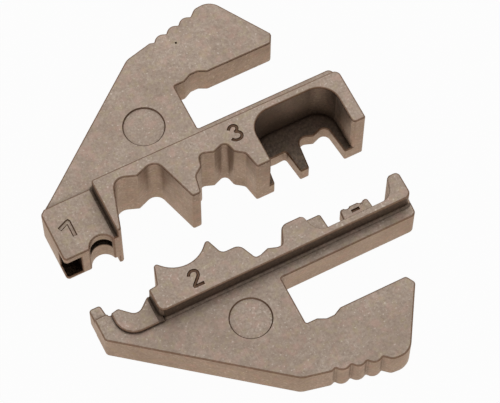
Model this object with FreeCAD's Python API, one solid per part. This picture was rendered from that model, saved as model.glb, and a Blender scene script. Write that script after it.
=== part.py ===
import FreeCAD, Part
import math
import os

# Two loose dies of a hand crimping tool, in millimetres: a nest die that holds the contact
# from above and a punch die that closes on it. Both lie flat, working faces towards each other.
# X runs along the dies, Y is the closing direction, Z is up through their thickness.
#
# Each die is drawn in plan as (x, v): x from the inner wall of its slot, v from the slot's
# land towards the other die. So the slot is at negative v and the working face at positive v.

# Thicknesses, all centred on one middle plane
BAR_THICK = 12.0
PLATE_THICK = 6.0
NEST_PAD_THICK = 7.4
PUNCH_PAD_THICK = 7.1
FLOOR_THICK = 3.0
MID_Z = BAR_THICK / 2

# Plan sizes that both dies share
BODY_LEFT = -27.85
BAR_LEFT = -19.0
BAR_RIGHT = 23.2
LEDGE_WIDTH = 1.95
SLOT_WIDTH = 8.2
SLOT_CORNER_R = 0.3
LEDGE_END_R = 0.9
BAR_END_R = 1.1
NEST_BACK_R = 0.5
PUNCH_BACK_R = 1.2
PAD_INTO_BAR = 0.4
BAR_FOOT_R = 0.5
WEDGE_START_V = 2.75
WEDGE_END = (-4.6, -15.7)
WEDGE_NOSE_R = 0.8
WEDGE_END_R = 2.5
PLATE_UNDER_BAR = 3.6

# Arm behind the slot: its slanted end, the relief in its slot face and its grip bumps
ARM_TIP_X = 18.6
ARM_TIP_CUT = 1.75
ARM_TIP_R = 0.6
ARM_HEEL = (11.65, -19.35)
ARM_HEEL_R = 2.8
RELIEF_DEPTH = 0.65
RELIEF_FOOT = (1.8, 5.7)
RELIEF_TOP = (3.1, 4.4)
BUMP_COUNT = 3
BUMP_PITCH = 2.42
BUMP_HEIGHT = 0.95
BUMP_R = 1.4
BUMP_ANGLE = 12.4
FIRST_NOTCH = (0.6, -16.5)

# Working faces and the closing travel
NEST_FACE = 11.25
PUNCH_FACE = 6.5
CLOSED_GAP = 0.1
STROKE = 10.15
LAND_SPACING = NEST_FACE + PUNCH_FACE + CLOSED_GAP + STROKE

# Middles of the crimping stations along X
STATION_1_X = -21.7
STATION_2_X = -12.35
ANVIL_2_X = -12.1
STATION_3_X = -0.2
STATION_4_X = 9.95
STATION_5_X = 16.85

# Station 1: a half-round nest with a slot in its wall, over a shallow V anvil
ROUND_NEST_R = 2.0
ROUND_NEST_DEPTH = 1.5
GAUGE_SLOT_Z = (6.0, 8.0)
GAUGE_SLOT_R = 1.95
GAUGE_SLOT_V = 10.3
ANVIL_1_HALF = 2.3
ANVIL_1_RISE = 0.3
ANVIL_1_DEPTH = 2.2
ANVIL_1_R = 1.3

# Station 2: a wide two-lobed nest over a hollow anvil
NEST_2_MOUTH_HALF = 5.98
NEST_2_TOP_HALF = 3.5
NEST_2_TOP_V = 3.12
NEST_2_LOBE_R = 1.7
NEST_2_CUSP_V = 4.42
ANVIL_2_BASE_HALF = 5.5
ANVIL_2_TIP = (4.4, 9.6)
ANVIL_2_TIP_R = 0.45
ANVIL_2_FOOT_R = 1.0
ANVIL_2_HOLLOW_V = 5.15
ANVIL_2_HOLLOW_R = 4.8

# Station 3: a shouldered two-lobed nest over a two-lobed valley
NEST_3_MOUTH_HALF = 4.75
NEST_3_SHOULDER = (4.2, 8.45)
NEST_3_THROAT = (2.75, 7.35)
NEST_3_TOP = (2.25, 5.25)
NEST_3_LOBE_R = 0.9
NEST_3_CUSP_V = 6.1
VALLEY_3_MOUTH_HALF = 3.5
VALLEY_3_FLOOR = (2.15, 3.35)
VALLEY_3_LOBE_R = 0.75
VALLEY_3_CUSP_V = 4.1

# Stations 4 and 5: two small nests in a thin floor, under an open window through the dies
WINDOW_LEFT = 6.95
WINDOW_RIGHT = 21.0
WINDOW_BACK_V = 3.2
WINDOW_R = 3.4
PUNCH_WINDOW_V = 3.12
PUNCH_WINDOW_R = 2.2
PUNCH_WINDOW_SLOPE = 0.9
RIM_RUN = 0.5
RIM_DEPTH = 0.29
RIM_R = 0.6
NEST_4_MOUTH_HALF = 2.25
NEST_4_TOP_HALF = 1.72
NEST_4_TOP_V = 7.1
NEST_5_MOUTH_HALF = 3.12
NEST_5_TOP_HALF = 2.5
NEST_5_TOP_V = 5.75
NEST_5_LOBE_R = 1.1
NEST_5_CUSP_V = 6.65
PUNCH_4_HALF = 1.55
PUNCH_4_TOP_V = 9.05
PUNCH_5_HALF = 2.4
PUNCH_5_TOP_V = 8.2
PUNCH_FLARE = 0.25
PUNCH_5_GROOVE_X = 1.18
PUNCH_5_GROOVE_R = 0.6
PUNCH_5_GROOVE_DEPTH = 0.25

# Corner notch of the nest die, and the finger of the punch die that enters it
NOTCH_WIDTH = 2.7
NOTCH_DEPTH = 2.25
NOTCH_Z = (3.0, 8.2)
FINGER_WIDTH = 1.9
FINGER_REACH = 8.65
FINGER_ROOT_V = 6.0
FINGER_FLARE = 0.3
FINGER_STEP = 0.5
FINGER_GAP = 0.3
PUNCH_PAD_LEFT = -25.3
PUNCH_PAD_BACK_V = 1.5
PUNCH_PAD_R = 3.2
NEST_PAD_BACK_V = 2.1

# Small radii on the profile corners
TOOTH_R = 0.3
MOUTH_R = 0.4
MOUTH_RUN = 0.7
PRONG_R = 0.8
HUMP_R = 1.5
BLOCK_R = 1.3
PUNCH_TIP_R = 0.45
CUSP_R = 0.3
NOTCH_R = 0.25
SHARP = 0.0
PAST = 2.0


def plate_z():
    """Lowest and highest z of the plates."""
    return MID_Z - PLATE_THICK / 2, MID_Z + PLATE_THICK / 2


def pad_z(thick):
    """Lowest and highest z of a pad at station 1."""
    return MID_Z - thick / 2, MID_Z + thick / 2


def wedge_x(v):
    """X on the slanted back edge of the wedge at a given v."""
    run = WEDGE_END[0] - BODY_LEFT
    rise = WEDGE_END[1] - WEDGE_START_V
    return BODY_LEFT + (v - WEDGE_START_V) * run / rise


def arm_tip():
    """The arm's blunt tip: a short flat across the corner of its slanted end and its slot face."""
    back = -SLOT_WIDTH
    run, fall = ARM_TIP_X - ARM_HEEL[0], back - ARM_HEEL[1]
    share = ARM_TIP_CUT / math.hypot(run, fall)
    slanted = (ARM_TIP_X - share * run, back - share * fall, ARM_TIP_R)
    return [slanted, (ARM_TIP_X - ARM_TIP_CUT, back, ARM_TIP_R)]


def rounded_edges(corners):
    """Edges of a closed outline: straight runs with a tangent arc at each corner (point, radius)."""
    count = len(corners)
    starts, arcs, ends = [], [], []
    for i, (point, radius) in enumerate(corners):
        to_last = (corners[i - 1][0] - point).normalize()
        to_next = (corners[(i + 1) % count][0] - point).normalize()
        half = to_last.getAngle(to_next) / 2
        if radius <= 0 or half > math.pi / 2 - 1e-4:
            starts.append(point)
            ends.append(point)
            arcs.append(None)
            continue
        reach = radius / math.tan(half)
        middle = (to_last + to_next).normalize() * (radius / math.sin(half) - radius)
        starts.append(point + to_last * reach)
        ends.append(point + to_next * reach)
        arcs.append(Part.Arc(starts[i], point + middle, ends[i]))
    edges = []
    for i in range(count):
        if arcs[i]:
            edges.append(arcs[i].toShape())
        following = starts[(i + 1) % count]
        if (following - ends[i]).Length > 1e-6:
            edges.append(Part.LineSegment(ends[i], following).toShape())
    return edges


class DiePlan:
    """Places plan shapes (x, v) of one die in the part's frame."""

    def __init__(self, land_y, facing):
        self.land_y = land_y
        self.facing = facing
        self.shift_x = -(BODY_LEFT + BAR_RIGHT) / 2

    def point(self, x, v, z=0.0):
        return FreeCAD.Vector(x + self.shift_x, self.land_y + self.facing * v, z)

    def prism(self, corners, z_range):
        placed = [(self.point(x, v, z_range[0]), radius) for x, v, radius in corners]
        face = Part.Face(Part.Wire(rounded_edges(placed)))
        return face.extrude(FreeCAD.Vector(0, 0, z_range[1] - z_range[0]))

    def block(self, x_range, v_range, z_range):
        (left, right), (low, high) = x_range, v_range
        corners = [(left, low, SHARP), (right, low, SHARP), (right, high, SHARP), (left, high, SHARP)]
        return self.prism(corners, z_range)

    def disc(self, x, v, radius, z_range):
        return Part.makeCylinder(radius, z_range[1] - z_range[0], self.point(x, v, z_range[0]))


def through():
    """A z range that runs past both faces of the bars."""
    return -PAST, BAR_THICK + PAST


def grip_bumps():
    """Outline of the grip bumps behind the arm, from notch to notch along their slanted floor."""
    along_x = math.cos(math.radians(BUMP_ANGLE))
    along_v = -math.sin(math.radians(BUMP_ANGLE))
    outline = [FIRST_NOTCH + (NOTCH_R,)]
    x, v = FIRST_NOTCH
    for i in range(BUMP_COUNT):
        peak_x = x + along_x * BUMP_PITCH / 2 + along_v * BUMP_HEIGHT
        peak_v = v + along_v * BUMP_PITCH / 2 - along_x * BUMP_HEIGHT
        x += along_x * BUMP_PITCH
        v += along_v * BUMP_PITCH
        outline += [(peak_x, peak_v, BUMP_R), (x, v, NOTCH_R)]
    return outline


def wedge_plate(plan, front_left):
    """Wedge, slot and arm in one plate; front_left is the outline ahead of the wedge's nose."""
    bumps = grip_bumps()
    back = -SLOT_WIDTH
    relief = back - RELIEF_DEPTH
    outline = list(front_left)
    outline += [(BODY_LEFT, WEDGE_START_V, WEDGE_NOSE_R), WEDGE_END + (WEDGE_END_R,)]
    outline += [(FIRST_NOTCH[0] - 0.7, FIRST_NOTCH[1] - 0.25, 0.5)] + bumps
    outline += [(bumps[-1][0] + 1.15, ARM_HEEL[1] + 0.25, 1.2)]
    outline += [ARM_HEEL + (ARM_HEEL_R,)] + arm_tip()
    outline += [(RELIEF_FOOT[1], back, 0.6), (RELIEF_TOP[1], relief, 0.6)]
    outline += [(RELIEF_TOP[0], relief, 0.6), (RELIEF_FOOT[0], back, 0.6)]
    outline += [(0, back, SLOT_CORNER_R), (0, 0, SLOT_CORNER_R), (BAR_RIGHT, 0, LEDGE_END_R)]
    outline += [(BAR_RIGHT, PLATE_UNDER_BAR, SHARP)]
    return plan.prism(outline, plate_z())


def foot_cove(plan, back_left_r):
    """Back of a bar on its ledge, with a concave fillet where its walls stand on the plate."""
    front = LEDGE_WIDTH + 6
    outline = [(BAR_LEFT, front, SHARP), (BAR_LEFT, LEDGE_WIDTH, back_left_r)]
    outline += [(BAR_RIGHT, LEDGE_WIDTH, BAR_END_R), (BAR_RIGHT, front, SHARP)]
    bar = plan.prism(outline, (0, BAR_THICK))
    skirt_x = (BAR_LEFT - 3, BAR_RIGHT + 3)
    body = bar.fuse(plan.block(skirt_x, (LEDGE_WIDTH - 2, LEDGE_WIDTH + 3), plate_z()))
    feet = []
    for edge in body.Edges:
        box = edge.BoundBox
        beside_bar = box.XMin > bar.BoundBox.XMin - 1e-3 and box.XMax < bar.BoundBox.XMax + 1e-3
        on_plate = any(abs(box.ZMin - z) < 1e-3 and abs(box.ZMax - z) < 1e-3 for z in plate_z())
        if beside_bar and on_plate:
            feet.append(edge)
    left = BAR_LEFT - BAR_FOOT_R
    room = [(left, 0, SHARP), (BAR_RIGHT, 0, LEDGE_END_R)]
    room += [(BAR_RIGHT, PLATE_UNDER_BAR, SHARP), (left, PLATE_UNDER_BAR, SHARP)]
    return body.makeFillet(BAR_FOOT_R, feet).common(plan.prism(room, (0, BAR_THICK)))


def open_mouth(centre, half, radius):
    """Where a cutter leaves the nest die's face, which rounds the corners of the teeth beside it."""
    wide = half + MOUTH_RUN
    corners = [(centre + half, NEST_FACE, radius), (centre + wide, NEST_FACE, SHARP)]
    corners += [(centre + wide, NEST_FACE + PAST, SHARP), (centre - wide, NEST_FACE + PAST, SHARP)]
    return corners + [(centre - wide, NEST_FACE, SHARP), (centre - half, NEST_FACE, radius)]


def lobed_nest(plan, centre, mouth_half, top_half, top_v, lobe_r, cusp_v, mouth_r, z_range):
    """Cutter for a nest whose roof is two lobes with a cusp between them."""
    top = [(centre - top_half, top_v, lobe_r), (centre, cusp_v, CUSP_R), (centre + top_half, top_v, lobe_r)]
    return plan.prism(top + open_mouth(centre, mouth_half, mouth_r), z_range)


def nest_station_3(plan):
    """Cutter for station 3: lobes at the top, a throat and wide shoulders towards the mouth."""
    centre = STATION_3_X
    right = [(centre + NEST_3_TOP[0], NEST_3_TOP[1], NEST_3_LOBE_R)]
    right += [(centre + NEST_3_THROAT[0], NEST_3_THROAT[1], 0.7)]
    right += [(centre + NEST_3_SHOULDER[0], NEST_3_SHOULDER[1], 0.9)]
    left = [(2 * centre - x, v, r) for x, v, r in reversed(right)]
    cusp = [(centre, NEST_3_CUSP_V, CUSP_R)]
    mouth = open_mouth(centre, NEST_3_MOUTH_HALF, MOUTH_R)
    return plan.prism(cusp + right + mouth + left, through())


def nest_bar(plan):
    """Full-thickness bar of the nest die, still without its nests."""
    outline = [(BAR_LEFT, NEST_FACE, SHARP), (BAR_LEFT, LEDGE_WIDTH, NEST_BACK_R)]
    outline += [(BAR_RIGHT, LEDGE_WIDTH, BAR_END_R), (BAR_RIGHT, NEST_FACE, TOOTH_R)]
    return plan.prism(outline, (0, BAR_THICK)).fuse(foot_cove(plan, NEST_BACK_R))


def nest_pad(plan):
    """Pad of station 1 on the nest die, a little thicker than the plate."""
    outline = [(BODY_LEFT, NEST_FACE, 0.6), (BODY_LEFT, WEDGE_START_V, WEDGE_NOSE_R)]
    outline += [(wedge_x(NEST_PAD_BACK_V), NEST_PAD_BACK_V, SHARP)]
    outline += [(BAR_LEFT + PAD_INTO_BAR, NEST_PAD_BACK_V, SHARP), (BAR_LEFT + PAD_INTO_BAR, NEST_FACE, SHARP)]
    return plan.prism(outline, pad_z(NEST_PAD_THICK))


def build_nest_die(plan):
    """Nest die: wedge plate, bar and pad, with the nests, window and corner notch cut out."""
    front_left = [(BODY_LEFT, PLATE_UNDER_BAR, SHARP)]
    die = wedge_plate(plan, front_left).fuse([nest_bar(plan), nest_pad(plan)])
    cutters = [plan.disc(STATION_1_X, NEST_FACE + ROUND_NEST_R - ROUND_NEST_DEPTH, ROUND_NEST_R, through())]
    cutters.append(plan.disc(STATION_1_X, GAUGE_SLOT_V, GAUGE_SLOT_R, GAUGE_SLOT_Z))
    cutters.append(lobed_nest(plan, STATION_2_X, NEST_2_MOUTH_HALF, NEST_2_TOP_HALF, NEST_2_TOP_V,
                              NEST_2_LOBE_R, NEST_2_CUSP_V, MOUTH_R, through()))
    cutters.append(nest_station_3(plan))
    window = [(WINDOW_LEFT, WINDOW_BACK_V, WINDOW_R), (WINDOW_RIGHT, WINDOW_BACK_V, WINDOW_R)]
    window += open_mouth((WINDOW_LEFT + WINDOW_RIGHT) / 2, (WINDOW_RIGHT - WINDOW_LEFT) / 2, SHARP)
    cutters.append(plan.prism(window, (FLOOR_THICK, BAR_THICK + PAST)))
    low = (-PAST, FLOOR_THICK)
    cutters.append(lobed_nest(plan, STATION_4_X, NEST_4_MOUTH_HALF, NEST_4_TOP_HALF, NEST_4_TOP_V,
                              0.5, NEST_4_TOP_V + 0.1, TOOTH_R, low))
    cutters.append(lobed_nest(plan, STATION_5_X, NEST_5_MOUTH_HALF, NEST_5_TOP_HALF, NEST_5_TOP_V,
                              NEST_5_LOBE_R, NEST_5_CUSP_V, TOOTH_R, low))
    notch_x = (BODY_LEFT - PAST, BODY_LEFT + NOTCH_WIDTH)
    notch_v = (NEST_FACE - NOTCH_DEPTH, NEST_FACE + PAST)
    cutters.append(plan.block(notch_x, notch_v, NOTCH_Z))
    return die.cut(cutters).removeSplitter()


def punch_outline():
    """Outline of the full-thickness bar of the punch die, from its back left corner round."""
    tip, tip_v = ANVIL_2_TIP
    outline = [(BAR_RIGHT, LEDGE_WIDTH, BAR_END_R), (BAR_LEFT, LEDGE_WIDTH, PUNCH_BACK_R)]
    outline += [(BAR_LEFT, FINGER_ROOT_V, SHARP)]
    outline += [(ANVIL_2_X - ANVIL_2_BASE_HALF, FINGER_ROOT_V + 0.15, 0.25)]
    outline += [(ANVIL_2_X - tip, tip_v, ANVIL_2_TIP_R), (ANVIL_2_X, ANVIL_2_HOLLOW_V, ANVIL_2_HOLLOW_R)]
    outline += [(ANVIL_2_X + tip, tip_v, ANVIL_2_TIP_R), (ANVIL_2_X + ANVIL_2_BASE_HALF, PUNCH_FACE, ANVIL_2_FOOT_R)]
    outline += [(STATION_3_X - VALLEY_3_MOUTH_HALF, PUNCH_FACE, HUMP_R)]
    outline += [(STATION_3_X - VALLEY_3_FLOOR[0], VALLEY_3_FLOOR[1], VALLEY_3_LOBE_R)]
    outline += [(STATION_3_X, VALLEY_3_CUSP_V, CUSP_R)]
    outline += [(STATION_3_X + VALLEY_3_FLOOR[0], VALLEY_3_FLOOR[1], VALLEY_3_LOBE_R)]
    outline += [(STATION_3_X + VALLEY_3_MOUTH_HALF, PUNCH_FACE, BLOCK_R)]
    outline += [(BAR_RIGHT, PUNCH_FACE, PRONG_R)]
    return outline


def punch_window(plan):
    """Cutter for the punch die's share of the open window, above the thin floor."""
    right = WINDOW_RIGHT + 0.15
    left_rim, right_rim, under_rim = WINDOW_LEFT - RIM_RUN, right + RIM_RUN, PUNCH_FACE - RIM_DEPTH
    outline = [(left_rim, PUNCH_FACE, SHARP), (WINDOW_LEFT, under_rim, RIM_R)]
    outline += [(WINDOW_LEFT + PUNCH_WINDOW_SLOPE, PUNCH_WINDOW_V, PUNCH_WINDOW_R)]
    outline += [(right - PUNCH_WINDOW_SLOPE, PUNCH_WINDOW_V, PUNCH_WINDOW_R)]
    outline += [(right, under_rim, RIM_R), (right_rim, PUNCH_FACE, SHARP)]
    outline += [(right_rim, PUNCH_FACE + PAST, SHARP), (left_rim, PUNCH_FACE + PAST, SHARP)]
    return plan.prism(outline, (FLOOR_THICK, BAR_THICK + PAST))


def low_punch(plan, centre, half, top_v):
    """Small punch in the thin floor that enters a nest of stations 4 and 5."""
    base = PUNCH_FACE - 1.0
    outline = [(centre - half, top_v, PUNCH_TIP_R), (centre + half, top_v, PUNCH_TIP_R)]
    outline += [(centre + half + PUNCH_FLARE, base, SHARP), (centre - half - PUNCH_FLARE, base, SHARP)]
    return plan.prism(outline, (0, FLOOR_THICK))


def build_punch_die(plan):
    """Punch die: wedge plate with its finger, pad, profiled bar and two low punches."""
    finger_right = BODY_LEFT + FINGER_WIDTH
    pad_right = BAR_LEFT + PAD_INTO_BAR
    peak_v = FINGER_ROOT_V + ANVIL_1_RISE
    front = [(pad_right, PLATE_UNDER_BAR, SHARP), (pad_right, FINGER_ROOT_V, SHARP)]
    front += [(STATION_1_X + ANVIL_1_HALF, FINGER_ROOT_V, 0.3), (STATION_1_X, peak_v - ANVIL_1_DEPTH, ANVIL_1_R)]
    front += [(STATION_1_X - ANVIL_1_HALF, peak_v, 0.4), (finger_right + FINGER_FLARE, FINGER_ROOT_V, 0.25)]
    front += [(finger_right, FINGER_REACH, 0.5), (BODY_LEFT, FINGER_REACH, 0.5)]
    pad = [(PUNCH_PAD_LEFT, FINGER_REACH, SHARP), (PUNCH_PAD_LEFT, PUNCH_PAD_BACK_V, PUNCH_PAD_R)]
    pad += [(pad_right, PUNCH_PAD_BACK_V, SHARP), (pad_right, FINGER_REACH, SHARP)]
    thick = pad_z(PUNCH_PAD_THICK)
    under_front = plan.prism(front + [(BODY_LEFT, 0, SHARP), (pad_right, 0, SHARP)], thick)
    pad = plan.prism(pad, thick).common(under_front)
    bar = plan.prism(punch_outline(), (0, BAR_THICK))
    die = wedge_plate(plan, front).fuse([bar, foot_cove(plan, PUNCH_BACK_R), pad])
    die = die.fuse([low_punch(plan, STATION_4_X, PUNCH_4_HALF, PUNCH_4_TOP_V),
                    low_punch(plan, STATION_5_X, PUNCH_5_HALF, PUNCH_5_TOP_V)])
    cutters = [punch_window(plan)]
    for side in (-1, 1):
        groove_v = PUNCH_5_TOP_V - PUNCH_5_GROOVE_DEPTH + PUNCH_5_GROOVE_R
        x = STATION_5_X + side * PUNCH_5_GROOVE_X
        cutters.append(plan.disc(x, groove_v, PUNCH_5_GROOVE_R, (-PAST, FLOOR_THICK + 0.5)))
    tip_x = (BODY_LEFT - PAST, finger_right + FINGER_FLARE)
    tip_v = (FINGER_ROOT_V + FINGER_STEP, FINGER_REACH + PAST)
    cutters.append(plan.block(tip_x, tip_v, (NOTCH_Z[1] - FINGER_GAP, BAR_THICK)))
    cutters.append(plan.block(tip_x, tip_v, (0, NOTCH_Z[0] + FINGER_GAP)))
    return die.cut(cutters).removeSplitter()


def main():
    os.makedirs("parts", exist_ok=True)
    nest_plan = DiePlan(LAND_SPACING / 2, -1)
    punch_plan = DiePlan(-LAND_SPACING / 2, 1)
    dies = {"nest_die": build_nest_die(nest_plan), "punch_die": build_punch_die(punch_plan)}
    for name, shape in dies.items():
        print(name, "solids", len(shape.Solids), "valid", shape.isValid(), "volume", round(shape.Volume, 1))
        shape.exportStep(os.path.join("parts", name + ".step"))


main()
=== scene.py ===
import math

import bmesh
import bpy
from mathutils import Matrix, Vector


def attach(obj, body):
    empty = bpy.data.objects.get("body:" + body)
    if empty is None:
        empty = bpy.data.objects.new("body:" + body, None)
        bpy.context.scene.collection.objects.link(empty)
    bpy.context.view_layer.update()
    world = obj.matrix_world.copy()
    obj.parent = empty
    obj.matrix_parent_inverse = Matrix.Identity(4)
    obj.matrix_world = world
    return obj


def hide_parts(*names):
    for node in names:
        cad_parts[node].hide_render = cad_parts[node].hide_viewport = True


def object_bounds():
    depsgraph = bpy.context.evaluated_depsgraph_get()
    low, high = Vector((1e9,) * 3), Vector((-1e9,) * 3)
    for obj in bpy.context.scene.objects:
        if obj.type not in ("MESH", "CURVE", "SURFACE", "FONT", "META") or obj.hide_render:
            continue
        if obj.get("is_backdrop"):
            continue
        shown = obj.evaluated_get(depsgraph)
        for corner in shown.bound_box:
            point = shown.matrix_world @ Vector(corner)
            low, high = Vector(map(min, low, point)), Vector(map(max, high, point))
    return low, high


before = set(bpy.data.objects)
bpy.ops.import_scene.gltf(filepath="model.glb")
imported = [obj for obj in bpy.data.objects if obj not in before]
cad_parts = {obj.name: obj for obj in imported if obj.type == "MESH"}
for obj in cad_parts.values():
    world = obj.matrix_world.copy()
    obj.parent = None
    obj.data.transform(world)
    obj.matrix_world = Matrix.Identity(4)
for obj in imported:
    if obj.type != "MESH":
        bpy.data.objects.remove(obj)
CAD_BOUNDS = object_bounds()

bl_info = {
    "name": "Crimping Die Pair",
    "version": (1, 0, 0),
    "blender": (4, 5, 0),
    "location": "View3D > Sidebar > Crimping Die",
    "description": "Dresses the nest die and the punch die of a hand crimping tool in blasted steel",
    "category": "Object",
}

MM = 0.001

# Plan of the dies: x from the slot's inner wall, v from the slot's land towards the other die
SLOT_WALL_X = 2.325
LAND_Y = 14.0

# Top faces of a die, in millimetres above the table: the bar, the pad of station 1, the plate, and the floor
# under the nest die's window, level with the punch die's low punches
BAR_TOP = 12.0
PAD_TOP = 9.7
PLATE_TOP = 9.0
FLOOR_TOP = 3.0

# Figures sunk into the dies, as strokes in millimetres on a grid with its foot at zero
FIGURE_ONE = [(-1.75, 1.95), (0.0, 2.7), (0.0, 0.0)]
FIGURE_TWO = [(-0.95, 2.15), (-0.7, 2.75), (0.1, 2.95), (0.8, 2.55), (0.75, 1.75), (0.05, 1.05),
              (-0.7, 0.35), (-0.95, 0.0), (-0.2, 0.05), (1.0, 0.05)]
FIGURE_THREE = [(-0.85, 2.35), (-0.45, 2.9), (0.35, 2.95), (0.85, 2.45), (0.6, 1.8), (-0.05, 1.6),
                (0.65, 1.45), (1.05, 0.85), (0.75, 0.15), (-0.05, 0.0), (-0.75, 0.2), (-1.0, 0.65)]
SMALL_FIGURE_SHARE = 0.88
DASH = [(-0.7, 0.0), (0.7, 0.0)]

# Middles of the figures as (x, v), and how far under the face the middle of a small figure's groove lies
ONE_PLACE = (-24.6, 6.85)
TWO_PLACE = (-11.95, 4.6)
THREE_PLACE = (4.1, 4.6)
DASH_PLACE = (16.75, 7.2)
GROOVE_SINK = 0.02

# Section of a groove: its width and depth as shares of the stroke, how level its faces may be and still get
# the painted shade, and how much they get. The 1 is wide and shallow,
# and only its sides get the painted shade
ROUND_GROOVE = {"smooth": True, "width": 1.0, "depth": 1.0, "steep": 1.1, "shade_mark": 1.15}
STRAIGHT_GROOVE = {**ROUND_GROOVE, "smooth": False}
WIDE_GROOVE = {"smooth": False, "width": 1.45, "depth": 0.6, "steep": 0.9, "shade_mark": 1.35}
GROOVE_POINTS = 40
GROOVE_SIDES = 12

# How far, in millimetres, walls around a face are felt by the painted shade: what lies deep in a window is
# darkened as painted shade, and what lies close in a corner gets the corner brown, which is partly film and
# partly painted shade
SHADE_REACH = 7.0
CORNER_SHADE_REACH = 0.9

# Faces that get painted shade anyway, as ranges of x, v and z and the share they get: on both dies the
# bar's wall above the pad and its wall above the ledge, and on the nest die the corner notch and the window
END_WALL_SHADE = ((-19.3, -18.9), (2.0, 11.2), (9.4, 11.7), 0.75)
LEDGE_WALL_SHADE = ((-19.2, 23.3), (1.4, 2.1), (9.0, 11.8), 0.75)
NOTCH_SHADE = ((-27.9, -25.1), (8.9, 11.1), (2.98, 8.22), 1.3)
WINDOW_FLOOR_SHADE = ((6.9, 21.1), (3.1, 11.2), (2.98, 3.02), 0.8)
WINDOW_BACK_SHADE = ((6.9, 20.9), (2.9, 6.6), (3.05, 11.95), 0.6)
BAR_SHADE = [END_WALL_SHADE, LEDGE_WALL_SHADE]
NEST_SHADE = [*BAR_SHADE, NOTCH_SHADE, WINDOW_FLOOR_SHADE, WINDOW_BACK_SHADE]

# Edges in the gauge slot of station 1 take this share of the rounding
GAUGE_SLOT_ROOM = ((-24.5, -19.0), (7.9, 11.5), (5.9, 8.1))
GAUGE_EDGE_SHARE = 0.4

# Top edge of the punch die's window, whose rounding gets hardly any of the painted edge shade
FAINT_SHADE_EDGE_ROOM = ((6.0, 21.4), (2.8, 6.9), (11.5, 12.1))
FAINT_EDGE_SHADE = 0.2

# Where a pad's back edge meets the rounded corner of the bar there is no rounding, and a seam just beyond
# ends the edges that are rounded
PAD_CORNER_ROOM = ((-19.45, -18.3), (1.3, 2.6), (-1.0, PAD_TOP + 0.1))
PAD_END_X = -19.5

# Least turn between two faces, in degrees, whose edge is rounded: a level edge and an upright one; and the
# steps of the rounding
LEVEL_EDGE_TURN = 40
UPRIGHT_EDGE_TURN = 60
EDGE_STEPS = 3

# How much of its length a face's normal or an edge has upright, from 0 to 1: from here on it counts as
# upright, and a face slopes between these two
UPRIGHT = 0.99
SLOPING = (0.02, 0.98)

# Turns between neighbouring faces, in degrees: up to the first they are one flat face, and up to the second
# they are shaded as one curve
FLAT_TURN = 0.5
SMOOTH_TURN = 36

# Corners closer than this, in millimetres, are one: in the CAD mesh, and after the figures are cut
CAD_GAP = 0.01
CUT_GAP = 0.005

# Seams across the top faces, by x: on the nest die through the figure 1, the recess, the pit and the figure
# 3, on the punch die through the figure 2 and the recess, and on both at the pad's end
NEST_SEAMS = [-25.2, -7.2, 3.65, 4.4, PAD_END_X]
PUNCH_SEAMS = [-11.6, -6.9, PAD_END_X]

# Round recess in each plate: its middle as (x, v), how far its wall leans, as a share of its depth, and how
# level a face of it may be and still get painted shade
NEST_RECESS = (-7.25, -4.0)
PUNCH_RECESS = (-6.95, -3.8)
RECESS_LEAN = 0.8
RECESS_STEEP = 0.9
RECESS_SIDES = 96

# Small casting pit in the nest die's plate, as (x, v, height), its width, and how far its middle lies above
# the face, as a share of that
PLATE_PIT = (3.6, -14.9, PLATE_TOP)
PIT_WIDTH = 0.38
PIT_RISE_SHARE = 0.05

# Painted shade that a face gets, where a rounded edge gets 1 and a pit the most, and the least that counts
# as shaded
RECESS_SHADE = 1.2
PIT_SHADE = 1.5
SHADED_FROM = 0.5

# Upright edge at the right end of the window's mouth, as (x, v), its radius, and the steps of its round
MOUTH_CORNER = (21.0, 11.25)
MOUTH_RADIUS = 0.7
MOUTH_STEPS = 6

# What each die has of its own
NEST = {"facing": -1, "seams": NEST_SEAMS, "recess": NEST_RECESS, "pits": [PLATE_PIT],
        "corners": [MOUTH_CORNER], "painted_shade": NEST_SHADE}
PUNCH = {"facing": 1, "seams": PUNCH_SEAMS, "recess": PUNCH_RECESS, "pits": [],
         "corners": [], "painted_shade": BAR_SHADE}

# Camera: bars seen turned by this azimuth, from well above, with a long lens
CAMERA_TARGET = (5.81, 2.99)
CAMERA_AZIMUTH = 27.4
CAMERA_ELEVATION = 65.12
CAMERA_ROLL = 0.523
CAMERA_DISTANCE = 389.35
CAMERA_LENS = 180.0
CAMERA_SENSOR = 36.0
CAMERA_RANGE = (0.01, 10.0)

# Lamps: azimuth, 0 straight behind the dies and 90 to the camera's right, elevation, distance, side and watts
LAMPS = {
    "softbox_behind": (6, 44.5, 0.52, 0.45, 0.35),
    "panel_left": (-100, 30, 0.5, 0.3, 0.08),
    "panel_front": (180, 32, 0.5, 0.45, 0.2),
}

# The table reaches this far to each side, in metres
TABLE_REACH = 2.0

# Colours in the steel: tints, specks, pores and scratches of the blasted faces, the painted shade deep in
# windows from its pores to its grains, the corner brown, which is partly film and partly painted shade, and
# the painted shade on edges and in figures
ROSY_TINT = "#B8968A"
OLIVE_TINT = "#A89C7A"
BRIGHT_SPECK = "#DDD2C6"
DARK_PORE = "#6A594C"
SCRATCH = "#D3C7BA"
SHADE_PORE = "#1A110B"
SHADE_GRAIN = "#4A3A2D"
CORNER_FILM_AND_SHADE_BROWN = "#2E2118"
EDGE_SHADE_BROWN = "#65462F"
FIGURE_SHADE_BROWN = "#43332A"


def linear(hex_colour):
    """Linear RGBA of an sRGB hex colour."""
    parts = [int(hex_colour[i:i + 2], 16) / 255 for i in (1, 3, 5)]
    return [c / 12.92 if c <= 0.04045 else ((c + 0.055) / 1.055) ** 2.4 for c in parts] + [1.0]


def per_mm(size):
    """Texture scale on Object coordinates for features of a size in millimetres."""
    return 1 / (size * MM)


def put(tree, kind, inputs=None, **settings):
    """Adds a node with its settings; inputs holds values or the sockets that feed it."""
    node = tree.nodes.new(kind)
    for name, value in settings.items():
        setattr(node, name, value)
    for name, value in (inputs or {}).items():
        if isinstance(value, bpy.types.NodeSocket):
            tree.links.new(value, node.inputs[name])
        else:
            node.inputs[name].default_value = value
    return node


# Materials

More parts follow.
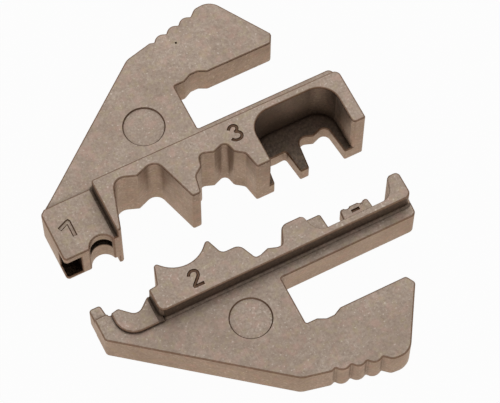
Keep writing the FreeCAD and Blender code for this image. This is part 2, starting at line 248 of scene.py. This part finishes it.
def blasted_steel(dies):
    """Cast tool steel, hardened and blasted: a dull bronze-grey metal with a fine sandy grain."""
    material = bpy.data.materials.new("blasted_cast_steel")
    material.use_nodes = True
    tree = material.node_tree
    tree.nodes.clear()
    place = put(tree, "ShaderNodeTexCoord").outputs["Object"]

    def noise(size, low, high, detail=2.0, seat=0.0):
        """Noise of a size in millimetres, stretched from low..high to 0..1; its seat shifts it."""
        moved = put(tree, "ShaderNodeMapping", {"Vector": place, "Location": (seat * MM, 0, 0)})
        wave = put(tree, "ShaderNodeTexNoise", {"Vector": moved.outputs[0], "Scale": per_mm(size),
                                                "Detail": detail, "Roughness": 0.6})
        return put(tree, "ShaderNodeMapRange", {"Value": wave.outputs["Fac"], "From Min": low,
                                                "From Max": high}).outputs[0]

    def mixed(share, amount, colour, over):
        """Colour laid over another by a pattern, at most by the given amount."""
        part = put(tree, "ShaderNodeMath", {0: share, 1: amount}, operation="MULTIPLY", use_clamp=True)
        blend = put(tree, "ShaderNodeMix", {0: part.outputs[0], 6: over}, data_type="RGBA")
        if isinstance(colour, bpy.types.NodeSocket):
            tree.links.new(colour, blend.inputs[7])
        else:
            blend.inputs[7].default_value = colour
        return blend.outputs[2]

    # Blasting grain, drawn at about 0.4 mm so that it shows, over blotches of about 1 mm
    grain = noise(size=dies.grain, low=0.27, high=0.73)
    blotch = noise(size=0.9, low=0.32, high=0.68, seat=31.0)
    cloud = noise(size=6.0, low=0.36, high=0.64, detail=3.0, seat=57.0)
    sandy = put(tree, "ShaderNodeMix", {0: grain, 6: tuple(dies.steel_dark), 7: tuple(dies.steel_light)},
                data_type="RGBA").outputs[2]
    colour = mixed(blotch, 0.45, tuple(dies.steel_stain), sandy)
    colour = mixed(cloud, 0.4, tuple(dies.steel_stain), colour)
    # Heat tints: a rosy and an olive cast, each in patches a millimetre or two wide
    rosy = noise(size=1.7, low=0.5, high=0.7, seat=83.0)
    olive = noise(size=1.3, low=0.52, high=0.7, seat=109.0)
    colour = mixed(rosy, 0.35, linear(ROSY_TINT), colour)
    colour = mixed(olive, 0.3, linear(OLIVE_TINT), colour)
    # Bright specks and dark pores of the casting, and a few handling scratches
    speck = noise(size=0.36, low=0.7, high=0.82, detail=0.0, seat=131.0)
    pore = noise(size=0.4, low=0.69, high=0.82, detail=0.0, seat=157.0)
    colour = mixed(speck, 0.35, linear(BRIGHT_SPECK), colour)
    colour = mixed(pore, 0.2, linear(DARK_PORE), colour)
    for turn, seat in ((0.5, 11.0), (2.0, 23.0)):
        along = put(tree, "ShaderNodeMapping", {"Vector": place, "Rotation": (0, 0, turn),
                                                "Scale": (1.0, 0.05, 1.0), "Location": (seat * MM, 0, 0)})
        streak = put(tree, "ShaderNodeTexNoise", {"Vector": along.outputs[0], "Scale": per_mm(0.3),
                                                  "Detail": 0.0})
        thin = put(tree, "ShaderNodeMapRange", {"Value": streak.outputs["Fac"], "From Min": 0.74,
                                                "From Max": 0.84})
        colour = mixed(thin.outputs[0], 0.1, linear(SCRATCH), colour)
    # Painted shade: deep in the windows and on the marked faces the steel is darkened to a pebbled brown, and
    # inner corners get a dark brown that is partly heat-treatment film and partly painted shade. Ambient
    # occlusion is 1 in the open and less between close walls
    deep = put(tree, "ShaderNodeAmbientOcclusion", {"Distance": SHADE_REACH * MM}, only_local=True, samples=12)
    inside = put(tree, "ShaderNodeMapRange", {"Value": deep.outputs["AO"], "From Min": 0.48,
                                              "From Max": 0.27})
    walls = put(tree, "ShaderNodeAttribute", attribute_name="painted_shade_faces", attribute_type="GEOMETRY")
    painted_shade = put(tree, "ShaderNodeMath", {0: inside.outputs[0], 1: walls.outputs["Fac"]},
               operation="MAXIMUM").outputs[0]
    pebble = put(tree, "ShaderNodeMapRange", {"Value": grain, "From Min": 0.2, "From Max": 0.85})
    pebbled_shade = put(tree, "ShaderNodeMix", {0: pebble.outputs[0], 6: linear(SHADE_PORE), 7: linear(SHADE_GRAIN)},
                  data_type="RGBA")
    colour = mixed(painted_shade, dies.painted_shade_amount, pebbled_shade.outputs[2], colour)
    corner = put(tree, "ShaderNodeAmbientOcclusion", {"Distance": CORNER_SHADE_REACH * MM}, only_local=True,
                 samples=8)
    corner_film_and_shade = put(tree, "ShaderNodeMapRange", {"Value": corner.outputs["AO"], "From Min": 0.92,
                                              "From Max": 0.45})
    colour = mixed(corner_film_and_shade.outputs[0], dies.corner_film_and_shade_amount, linear(CORNER_FILM_AND_SHADE_BROWN), colour)
    # Rounded edges get some painted shade too, and sunk figures get most of it
    shade_mark = put(tree, "ShaderNodeAttribute", attribute_name="painted_detail_shade", attribute_type="GEOMETRY")
    detail_shade = shade_mark.outputs["Fac"]
    sunk = put(tree, "ShaderNodeMapRange", {"Value": detail_shade, "From Min": 1.0, "From Max": 1.5})
    detail_shade_colour = put(tree, "ShaderNodeMix", {0: sunk.outputs[0], 6: linear(EDGE_SHADE_BROWN), 7: linear(FIGURE_SHADE_BROWN)},
                data_type="RGBA")
    colour = mixed(detail_shade, dies.detail_shade_amount, detail_shade_colour.outputs[2], colour)
    rough = put(tree, "ShaderNodeMapRange", {"Value": cloud, "To Min": dies.roughness - 0.05,
                                             "To Max": dies.roughness + 0.05})
    # The faces under the painted deep shade are drawn bumpier than the blasted faces
    shaded_bump = put(tree, "ShaderNodeMath", {0: painted_shade, 1: 1.0}, operation="ADD")
    relief = put(tree, "ShaderNodeMath", {0: grain, 1: shaded_bump.outputs[0]}, operation="MULTIPLY")
    bump = put(tree, "ShaderNodeBump", {"Height": relief.outputs[0], "Strength": 0.5, "Distance": 0.02 * MM})
    shader = put(tree, "ShaderNodeBsdfPrincipled", {"Base Color": colour, "Metallic": 1.0,
                                                    "Roughness": rough.outputs[0], "Normal": bump.outputs[0]})
    put(tree, "ShaderNodeOutputMaterial", {"Surface": shader.outputs[0]})
    return material


def studio_floor(stage):
    """Pale matt table that shows as white, and keeps a little of the dies' shadow."""
    material = bpy.data.materials.new("matt_white_table")
    material.use_nodes = True
    tree = material.node_tree
    tree.nodes.clear()
    matt = put(tree, "ShaderNodeBsdfDiffuse", {"Color": tuple(stage.floor_colour)})
    white = put(tree, "ShaderNodeEmission", {"Color": (1, 1, 1, 1), "Strength": 1.0})
    mirrored = put(tree, "ShaderNodeEmission", {"Color": tuple(stage.mirror_colour), "Strength": 1.0})
    rays = put(tree, "ShaderNodeLightPath")
    seen = put(tree, "ShaderNodeMath", {0: rays.outputs["Is Camera Ray"], 1: stage.whiteness},
               operation="MULTIPLY")
    shown = put(tree, "ShaderNodeMixShader", {0: seen.outputs[0], 1: matt.outputs[0], 2: white.outputs[0]})
    gloss = put(tree, "ShaderNodeMath", {0: rays.outputs["Is Glossy Ray"], 1: stage.mirror_share},
                operation="MULTIPLY")
    both = put(tree, "ShaderNodeMixShader", {0: gloss.outputs[0], 1: shown.outputs[0],
                                             2: mirrored.outputs[0]})
    put(tree, "ShaderNodeOutputMaterial", {"Surface": both.outputs[0]})
    return material


# Shapes

def die_point(facing, x, v, z):
    """Point of a die's plan in metres; facing is -1 for the nest die and 1 for the punch die."""
    return Vector((x + SLOT_WALL_X, -facing * LAND_Y + facing * v, z)) * MM


def plan_point(facing, place):
    """Plan coordinates in millimetres of a place on a die, the reverse of die_point."""
    x, y, z = place / MM
    return Vector((x - SLOT_WALL_X, (y + facing * LAND_Y) * facing, z))


def in_room(spot, room):
    """Whether a spot lies within the ranges of x, v and z that make a room."""
    return all(low < at < high for at, (low, high) in zip(spot, room))


def plain_mesh(obj):
    """Turns an object's evaluated shape into its own plain mesh and drops its modifiers."""
    depsgraph = bpy.context.evaluated_depsgraph_get()
    mesh = bpy.data.meshes.new_from_object(obj.evaluated_get(depsgraph), preserve_all_data_layers=True,
                                           depsgraph=depsgraph)
    obj.modifiers.clear()
    old, obj.data = obj.data, mesh
    if old.users == 0:
        bpy.data.meshes.remove(old)
    return obj


def new_object(name, data):
    """Adds an object with its data to the scene."""
    obj = bpy.data.objects.new(name, data)
    bpy.context.scene.collection.objects.link(obj)
    return obj


def solid_object(name, shape, material):
    """Object of one material from a bmesh, which is used up."""
    mesh = bpy.data.meshes.new(name)
    shape.to_mesh(mesh)
    shape.free()
    mesh.materials.append(material)
    return new_object(name, mesh)


def closed_copy(node, name, facing, seams):
    """Closed copy of a CAD node's mesh with its flat faces whole, and no painted shade marked on them yet.

    A seam runs across the top faces at each given x, so that no later cut lies whole inside a face.
    """
    shape = bmesh.new()
    shape.from_mesh(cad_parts[node].data)
    bmesh.ops.remove_doubles(shape, verts=shape.verts, dist=CAD_GAP * MM)
    flat = math.radians(FLAT_TURN)
    bmesh.ops.dissolve_limit(shape, angle_limit=flat, verts=shape.verts, edges=shape.edges)
    for x in seams:
        tops = [face for face in shape.faces if face.normal.z > UPRIGHT]
        parts = {part for face in tops for part in (face, *face.edges, *face.verts)}
        seam = die_point(facing, x, 0, 0)
        bmesh.ops.bisect_plane(shape, geom=list(parts), plane_co=seam, plane_no=(1, 0, 0))
    shape.faces.layers.float.new("painted_detail_shade")
    mesh = bpy.data.meshes.new(name)
    shape.to_mesh(mesh)
    shape.free()
    return new_object(name, mesh)


def rounding_share(edge, shade_mark, facing):
    """Share of the full rounding that an edge takes.

    An edge where faces meet inwards, a blunt one, one of a figure and one beside a sloping face take none.
    """
    spots = [plan_point(facing, vert.co) for vert in edge.verts]
    upright = abs(spots[0].z - spots[1].z) > UPRIGHT * (spots[0] - spots[1]).length
    least = UPRIGHT_EDGE_TURN if upright else LEVEL_EDGE_TURN
    if not edge.is_convex or edge.calc_face_angle(0) < math.radians(least):
        return 0.0
    if any(face[shade_mark] > SHADED_FROM for face in edge.link_faces):
        return 0.0
    around = [face for vert in edge.verts for face in vert.link_faces]
    if any(SLOPING[0] < abs(face.normal.z) < SLOPING[1] for face in around):
        return 0.0
    if any(in_room(spot, PAD_CORNER_ROOM) for spot in spots):
        return 0.0
    return GAUGE_EDGE_SHARE if all(in_room(spot, GAUGE_SLOT_ROOM) for spot in spots) else 1.0


def round_edges(obj, radius, facing):
    """Rounds the sharp edges and marks the rounded faces for painted shade."""
    shape = bmesh.new()
    shape.from_mesh(obj.data)
    bmesh.ops.remove_doubles(shape, verts=shape.verts, dist=CUT_GAP * MM)
    weight = shape.edges.layers.float.new("bevel_weight_edge")
    shade_mark = shape.faces.layers.float["painted_detail_shade"]
    for edge in shape.edges:
        edge[weight] = rounding_share(edge, shade_mark, facing)
    for face in shape.faces:
        face.material_index = 0
    shape.to_mesh(obj.data)
    shape.free()
    # The rounded faces get a second slot with the same steel, by which they are found again
    steel = obj.data.materials[0]
    obj.data.materials.append(steel)
    bevel = obj.modifiers.new("rounded edges", "BEVEL")
    bevel.width = radius
    bevel.segments = EDGE_STEPS
    bevel.limit_method = "WEIGHT"
    bevel.use_clamp_overlap = False
    bevel.miter_outer = "MITER_ARC"
    bevel.material = 1
    plain_mesh(obj)
    marks = obj.data.attributes["painted_detail_shade"].data
    for face in obj.data.polygons:
        if face.material_index == 1:
            spot = plan_point(facing, face.center)
            # The punch die's window top edge gets only faint painted shade
            faint_shade = facing > 0 and in_room(spot, FAINT_SHADE_EDGE_ROOM)
            marks[face.index].value = FAINT_EDGE_SHADE if faint_shade else 1.0
            face.material_index = 0
    obj.data.materials.pop(index=1)


def with_shade(obj, amount, is_shaded):
    """Marks the faces of a cutter that get painted shade in a die."""
    marks = obj.data.attributes.new("painted_detail_shade", "FLOAT", "FACE")
    for face in obj.data.polygons:
        marks.data[face.index].value = amount if is_shaded(face) else 0.0
    return obj


def mark_painted_shade(obj, facing, rooms):
    """Marks the faces that get painted shade, which are those in a room, by the room's share."""
    marks = obj.data.attributes.new("painted_shade_faces", "FLOAT", "FACE")
    for face in obj.data.polygons:
        spot = plan_point(facing, face.center)
        shares = [room[3] for room in rooms if in_room(spot, room[:3])]
        marks.data[face.index].value = max(shares, default=0.0)


def stroke_tree(name):
    """Geometry Nodes tree that gives a curve a round section, flattened by a share and set at a height."""
    tree = bpy.data.node_groups.new(name, "GeometryNodeTree")
    for label, kind in (("Geometry", "Geometry"), ("Stroke Radius", "Float"), ("Depth Share", "Float"),
                        ("Height", "Float"), ("Material", "Material")):
        tree.interface.new_socket(label, in_out="INPUT", socket_type="NodeSocket" + kind)
    tree.interface.new_socket("Geometry", in_out="OUTPUT", socket_type="NodeSocketGeometry")
    given = put(tree, "NodeGroupInput").outputs
    even = put(tree, "GeometryNodeResampleCurve", {"Curve": given["Geometry"], "Count": GROOVE_POINTS})
    ring = put(tree, "GeometryNodeCurvePrimitiveCircle", {"Resolution": GROOVE_SIDES,
                                                          "Radius": given["Stroke Radius"]})
    tube = put(tree, "GeometryNodeCurveToMesh", {"Curve": even.outputs[0], "Profile Curve": ring.outputs[0],
                                                 "Fill Caps": True})
    squash = put(tree, "ShaderNodeCombineXYZ", {"X": 1.0, "Y": 1.0, "Z": given["Depth Share"]})
    lift = put(tree, "ShaderNodeCombineXYZ", {"Z": given["Height"]})
    placed = put(tree, "GeometryNodeTransform", {"Geometry": tube.outputs[0], "Translation": lift.outputs[0],
                                                 "Scale": squash.outputs[0]})
    real = put(tree, "GeometryNodeRealizeInstances", {"Geometry": placed.outputs[0]})
    finish = put(tree, "GeometryNodeSetMaterial", {"Geometry": real.outputs[0],
                                                   "Material": given["Material"]})
    put(tree, "NodeGroupOutput", {"Geometry": finish.outputs[0]})
    return tree


def run_tree(obj, tree, values):
    """Runs a Geometry Nodes tree on an object and keeps the result as a plain mesh."""
    modifier = obj.modifiers.new(tree.name, "NODES")
    modifier.node_group = tree
    for item in tree.interface.items_tree:
        if item.in_out == "INPUT" and item.name in values:
            modifier[item.identifier] = values[item.name]
    depsgraph = bpy.context.evaluated_depsgraph_get()
    mesh = bpy.data.meshes.new_from_object(obj.evaluated_get(depsgraph), depsgraph=depsgraph)
    result = new_object(obj.name + "_cut", mesh)
    bpy.data.objects.remove(obj)
    return result


def stroke_cutter(figure, facing, dies, material):
    """Groove along a stroke, to be cut from a die, with painted shade on its steeper faces."""
    curve = bpy.data.curves.new("stroke", "CURVE")
    curve.dimensions = "3D"
    spline = curve.splines.new("NURBS" if figure["smooth"] else "POLY")
    spline.points.add(len(figure["spots"]) - 1)
    for point, (x, v) in zip(spline.points, figure["spots"]):
        point.co = (*die_point(facing, x, v, 0), 1.0)
    if figure["smooth"]:
        spline.order_u = 3
        spline.use_endpoint_u = True
        spline.resolution_u = 8
    obj = new_object("stroke", curve)
    tree = bpy.data.node_groups.get("stroke_groove") or stroke_tree("stroke_groove")
    groove = run_tree(obj, tree, {"Stroke Radius": dies.stroke * figure["width"] / 2,
                                  "Depth Share": figure["depth"], "Height": figure["z"] * MM,
                                  "Material": material})
    return with_shade(groove, figure["shade_mark"], lambda face: abs(face.normal.z) < figure["steep"])


def pit_cutter(centre, width, material):
    """Small round pit, its middle a little above the face."""
    shape = bmesh.new()
    bmesh.ops.create_icosphere(shape, subdivisions=3, radius=width / 2)
    bmesh.ops.translate(shape, verts=shape.verts, vec=centre + Vector((0, 0, width * PIT_RISE_SHARE)))
    return solid_object("pit", shape, material)


def disc_cutter(centre, diameter, depth, material):
    """Flat round recess with a sloping wall."""
    shape = bmesh.new()
    lean = depth * RECESS_LEAN
    bmesh.ops.create_cone(shape, cap_ends=True, segments=RECESS_SIDES, radius1=diameter / 2 - lean,
                          radius2=diameter / 2 + lean, depth=depth * 2)
    bmesh.ops.translate(shape, verts=shape.verts, vec=centre)
    return solid_object("disc", shape, material)


def mouth_cutter(facing, edge, material):
    """Takes the corner off an upright edge of the window's mouth and leaves it round.

    The cutter reaches past the faces by as much as the radius.
    """
    (x, v), radius = edge, MOUTH_RADIUS
    turns = [math.radians(90 / MOUTH_STEPS * step) for step in range(MOUTH_STEPS + 1)]
    plan = [(x + radius - radius * math.cos(turn), v - radius + radius * math.sin(turn)) for turn in turns]
    plan += [(x + radius, v + radius), (x - radius, v + radius), (x - radius, v - radius)]
    shape = bmesh.new()
    foot = shape.faces.new([shape.verts.new(die_point(facing, *spot, FLOOR_TOP)) for spot in plan])
    grown = bmesh.ops.extrude_face_region(shape, geom=[foot], use_keep_orig=True)["geom"]
    top = [part for part in grown if isinstance(part, bmesh.types.BMVert)]
    bmesh.ops.translate(shape, verts=top, vec=(0, 0, (BAR_TOP - FLOOR_TOP + radius) * MM))
    bmesh.ops.recalc_face_normals(shape, faces=shape.faces)
    return solid_object("mouth", shape, material)


def combine(obj, tool, operation, use_self=False):
    """Joins another closed mesh to an object, or cuts it away, and removes it."""
    boolean = obj.modifiers.new("combine", "BOOLEAN")
    boolean.operation = operation
    boolean.solver = "EXACT"
    boolean.use_self = use_self
    boolean.object = tool
    plain_mesh(obj)
    bpy.data.objects.remove(tool)


def finish_shading(obj):
    """Keeps flat faces flat beside their rounded edges, and smooths curved walls."""
    mesh = obj.data
    mesh.shade_smooth()
    shade_mark = mesh.attributes["painted_detail_shade"].data
    around = [[] for vert in mesh.vertices]
    for face in mesh.polygons:
        for vert in face.vertices:
            around[vert].append(face)
    limit = math.cos(math.radians(SMOOTH_TURN))
    split = []
    for face in mesh.polygons:
        for vert in face.vertices:
            fan = [other for other in around[vert] if other.normal.dot(face.normal) > limit]
            plain = [other for other in fan if shade_mark[other.index].value < SHADED_FROM]
            total = sum((other.normal * other.area for other in plain or fan), Vector())
            split.append(total.normalized() if total.length else face.normal)
    mesh.normals_split_custom_set(split)


def dress_die(node, body, plan, figures, dies):
    """Detailed copy of a die: sunk figures, a round recess, small pits, round corners and rounded edges."""
    steel = bpy.data.materials.get("blasted_cast_steel") or blasted_steel(dies)
    facing = plan["facing"]
    die = closed_copy(node, node + "_detailed", facing, plan["seams"])
    die.data.materials.append(steel)
    cutters = [stroke_cutter(figure, facing, dies, steel) for figure in figures]
    middle = die_point(facing, *plan["recess"], PLATE_TOP)
    disc = disc_cutter(middle, dies.recess_diameter, dies.recess_depth, steel)
    # The recess's steeper faces get painted shade
    cutters.append(with_shade(disc, RECESS_SHADE, lambda face: abs(face.normal.z) < RECESS_STEEP))
    for pit in plan["pits"]:
        hole = pit_cutter(die_point(facing, *pit), PIT_WIDTH * MM, steel)
        cutters.append(with_shade(hole, PIT_SHADE, lambda face: True))
    for edge in plan["corners"]:
        cutters.append(with_shade(mouth_cutter(facing, edge, steel), 0.0, lambda face: False))
    # The grooves cross themselves at tight turns, so all cutters first become one clean solid
    for cutter in cutters[1:]:
        combine(cutters[0], cutter, "UNION", use_self=True)
    combine(die, cutters[0], "DIFFERENCE")
    round_edges(die, dies.edge_radius, facing)
    # Faces in the listed rooms are darkened with painted shade
    mark_painted_shade(die, facing, plan["painted_shade"])
    finish_shading(die)
    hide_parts(node)
    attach(die, body)


def figure_at(strokes, centre, up, size, z, section=ROUND_GROOVE):
    """Figure sunk into a die; up is the sense of v that points to its head, size its scale."""
    height = max(y for x, y in strokes)
    spots = [(centre[0] + size * x, centre[1] + size * up * (y - height / 2)) for x, y in strokes]
    return {"spots": spots, "z": z, **section}


# Settings

class CrimpDieSettings(bpy.types.PropertyGroup):
    """Sizes and finish of the two dies."""
    edge_radius: bpy.props.FloatProperty(
        name="Edge Radius", description="Rounding of the outer edges", default=0.23 * MM, unit="LENGTH")
    stroke: bpy.props.FloatProperty(
        name="Figure Stroke", description="Width of the sunk figures", default=0.52 * MM, unit="LENGTH")
    recess_diameter: bpy.props.FloatProperty(
        name="Recess Diameter", description="Round recess in each plate", default=6.7 * MM, unit="LENGTH")
    recess_depth: bpy.props.FloatProperty(
        name="Recess Depth", description="Depth of the round recess", default=0.25 * MM, unit="LENGTH")
    grain: bpy.props.FloatProperty(
        name="Blasting Grain", description="Width of the surface grain in millimetres", default=0.4)
    roughness: bpy.props.FloatProperty(
        name="Roughness", description="Mean roughness of the blasted steel", default=0.46, subtype="FACTOR")
    # Painted shade on rounded edges and in sunk figures
    detail_shade_amount: bpy.props.FloatProperty(
        name="Edge Film", description="How dark the rounded edges are", default=0.65, subtype="FACTOR")
    # Dark brown in inner corners, partly film and partly painted shade
    corner_film_and_shade_amount: bpy.props.FloatProperty(
        name="Corner Film", description="How dark the inner corners are", default=0.9, subtype="FACTOR")
    # Painted shade deep in the windows and on the listed walls, drawn as a pebbled brown
    painted_shade_amount: bpy.props.FloatProperty(
        name="Cast Skin", description="How much the cast skin covers the steel", default=0.9,
        subtype="FACTOR")
    steel_light: bpy.props.FloatVectorProperty(
        name="Light Steel", description="Bright grains", default=linear("#B3A497"), size=4, subtype="COLOR")
    steel_dark: bpy.props.FloatVectorProperty(
        name="Dark Steel", description="Dark grains", default=linear("#8D7E72"), size=4, subtype="COLOR")
    steel_stain: bpy.props.FloatVectorProperty(
        name="Stain", description="Cloudy heat stain", default=linear("#968476"), size=4, subtype="COLOR")


class CrimpDieStageSettings(bpy.types.PropertyGroup):
    """Table and lamps."""
    floor_colour: bpy.props.FloatVectorProperty(
        name="Table Colour", description="Matt colour of the table", default=linear("#F2EEEA"), size=4,
        subtype="COLOR")
    mirror_colour: bpy.props.FloatVectorProperty(
        name="Mirrored Table", description="Table as the metal shows it", default=linear("#F5E5D6"), size=4,
        subtype="COLOR")
    mirror_share: bpy.props.FloatProperty(
        name="Mirrored Share", description="How evenly the metal sees the table", default=1.0,
        subtype="FACTOR")
    room_light: bpy.props.FloatProperty(
        name="Room Light", description="How much the room itself lights the dies", default=0.1,
        subtype="FACTOR")
    mirror_room: bpy.props.FloatProperty(
        name="Mirrored Room", description="Brightness of the room as the metal shows it", default=0.85,
        subtype="FACTOR")
    whiteness: bpy.props.FloatProperty(
        name="Whiteness", description="How white the table shows", default=0.97, subtype="FACTOR")
    lamp_strength: bpy.props.FloatProperty(
        name="Lamp Strength", description="Share of the lamps' full power", default=1.0)


# Operators

class CRIMPDIE_OT_nest_die(bpy.types.Operator):
    """Dress the nest die"""
    bl_idname = "crimpdie.nest_die"
    bl_label = "Nest Die"

    def execute(self, context):
        dies = context.scene.crimp_dies
        one = figure_at(FIGURE_ONE, ONE_PLACE, -1, 1.0, PAD_TOP, WIDE_GROOVE)
        three = figure_at(FIGURE_THREE, THREE_PLACE, -1, SMALL_FIGURE_SHARE, BAR_TOP - GROOVE_SINK)
        dress_die("nest_die", "nest", NEST, [one, three], dies)
        return {"FINISHED"}


class CRIMPDIE_OT_punch_die(bpy.types.Operator):
    """Dress the punch die"""
    bl_idname = "crimpdie.punch_die"
    bl_label = "Punch Die"

    def execute(self, context):
        dies = context.scene.crimp_dies
        two = figure_at(FIGURE_TWO, TWO_PLACE, 1, SMALL_FIGURE_SHARE, BAR_TOP - GROOVE_SINK)
        dash = figure_at(DASH, DASH_PLACE, 1, 1.0, FLOOR_TOP - GROOVE_SINK, STRAIGHT_GROOVE)
        dress_die("punch_die", "punch", PUNCH, [two, dash], dies)
        return {"FINISHED"}


class CRIMPDIE_OT_stage(bpy.types.Operator):
    """Set the table, the lamps and the camera"""
    bl_idname = "crimpdie.stage"
    bl_label = "Stage"

    def execute(self, context):
        stage = context.scene.crimp_stage
        mesh = bpy.data.meshes.new("table")
        corners = [(TABLE_REACH * x, TABLE_REACH * y, 0) for x, y in ((-1, -1), (1, -1), (1, 1), (-1, 1))]
        mesh.from_pydata(corners, [], [(0, 1, 2, 3)])
        mesh.materials.append(studio_floor(stage))
        new_object("table", mesh)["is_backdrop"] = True
        add_world(stage)
        add_camera(context)
        for name, (azimuth, elevation, distance, side, power) in LAMPS.items():
            add_lamp(name, azimuth, elevation, distance, side, power * stage.lamp_strength)
        return {"FINISHED"}


def add_world(stage):
    """Room that shows white to the camera and pale in the metal, and itself lights the dies only a little."""
    world = bpy.data.worlds.new("studio_room")
    bpy.context.scene.world = world
    world.use_nodes = True
    tree = world.node_tree
    tree.nodes.clear()
    rays = put(tree, "ShaderNodeLightPath")
    mirrored = put(tree, "ShaderNodeMapRange", {"Value": rays.outputs["Is Glossy Ray"],
                                                "To Min": stage.room_light, "To Max": stage.mirror_room})
    strength = put(tree, "ShaderNodeMath", {0: rays.outputs["Is Camera Ray"], 1: mirrored.outputs[0]},
                   operation="MAXIMUM")
    colour = put(tree, "ShaderNodeBackground", {"Color": (1, 1, 1, 1), "Strength": strength.outputs[0]})
    put(tree, "ShaderNodeOutputWorld", {"Surface": colour.outputs[0]})


def add_lamp(name, azimuth, elevation, distance, side, power):
    """Square lamp that faces the dies."""
    lamp = bpy.data.lights.new(name, "AREA")
    lamp.shape = "SQUARE"
    lamp.size = side
    lamp.energy = power
    turn, lift = math.radians(azimuth + CAMERA_AZIMUTH), math.radians(elevation)
    towards = Vector((math.sin(turn) * math.cos(lift), math.cos(turn) * math.cos(lift), math.sin(lift)))
    spot = towards * distance
    obj = new_object(name, lamp)
    obj.location = spot
    obj.rotation_euler = (-spot).to_track_quat("-Z", "Y").to_euler()


def add_camera(context):
    """Camera on the photograph's line of sight."""
    azimuth, elevation = math.radians(CAMERA_AZIMUTH), math.radians(CAMERA_ELEVATION)
    target = Vector((*CAMERA_TARGET, 0)) * MM
    back = Vector((-math.sin(azimuth) * math.cos(elevation), -math.cos(azimuth) * math.cos(elevation),
                   math.sin(elevation)))
    level = Vector((math.cos(azimuth), -math.sin(azimuth), 0))
    right = Matrix.Rotation(math.radians(CAMERA_ROLL), 3, back) @ level
    camera = bpy.data.cameras.new("camera")
    camera.sensor_width = CAMERA_SENSOR
    camera.lens = CAMERA_LENS
    camera.clip_start, camera.clip_end = CAMERA_RANGE
    obj = new_object("camera", camera)
    turned = Matrix((right, back.cross(right), back)).transposed()
    obj.matrix_world = Matrix.Translation(target + back * CAMERA_DISTANCE * MM) @ turned.to_4x4()
    context.scene.camera = obj


class CRIMPDIE_PT_panel(bpy.types.Panel):
    """Lists the dies and the stage"""
    bl_idname = "CRIMPDIE_PT_panel"
    bl_label = "Crimping Die"
    bl_space_type = "VIEW_3D"
    bl_region_type = "UI"
    bl_category = "Crimping Die"

    def draw(self, context):
        for settings in (context.scene.crimp_dies, context.scene.crimp_stage):
            for name in type(settings).__annotations__:
                self.layout.prop(settings, name)
        for operator in (CRIMPDIE_OT_nest_die, CRIMPDIE_OT_punch_die, CRIMPDIE_OT_stage):
            self.layout.operator(operator.bl_idname)


CLASSES = (CrimpDieSettings, CrimpDieStageSettings, CRIMPDIE_OT_nest_die, CRIMPDIE_OT_punch_die,
           CRIMPDIE_OT_stage, CRIMPDIE_PT_panel)


def register():
    """Adds the classes and the two groups of settings."""
    for item in CLASSES:
        bpy.utils.register_class(item)
    bpy.types.Scene.crimp_dies = bpy.props.PointerProperty(type=CrimpDieSettings)
    bpy.types.Scene.crimp_stage = bpy.props.PointerProperty(type=CrimpDieStageSettings)


def unregister():
    """Takes the classes and the settings away again."""
    del bpy.types.Scene.crimp_dies
    del bpy.types.Scene.crimp_stage
    for item in reversed(CLASSES):
        bpy.utils.unregister_class(item)


def main():
    """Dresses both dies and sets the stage."""
    register()
    bpy.context.scene.view_settings.view_transform = "Standard"
    bpy.ops.crimpdie.nest_die()
    bpy.ops.crimpdie.punch_die()
    bpy.ops.crimpdie.stage()
    bpy.context.view_layer.update()
    sizes = {"cad": CAD_BOUNDS, "visual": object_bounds()}
    {name: [[float(c) for c in corner] for corner in box] for name, box in sizes.items()}


if __name__ == "__main__":
    main()
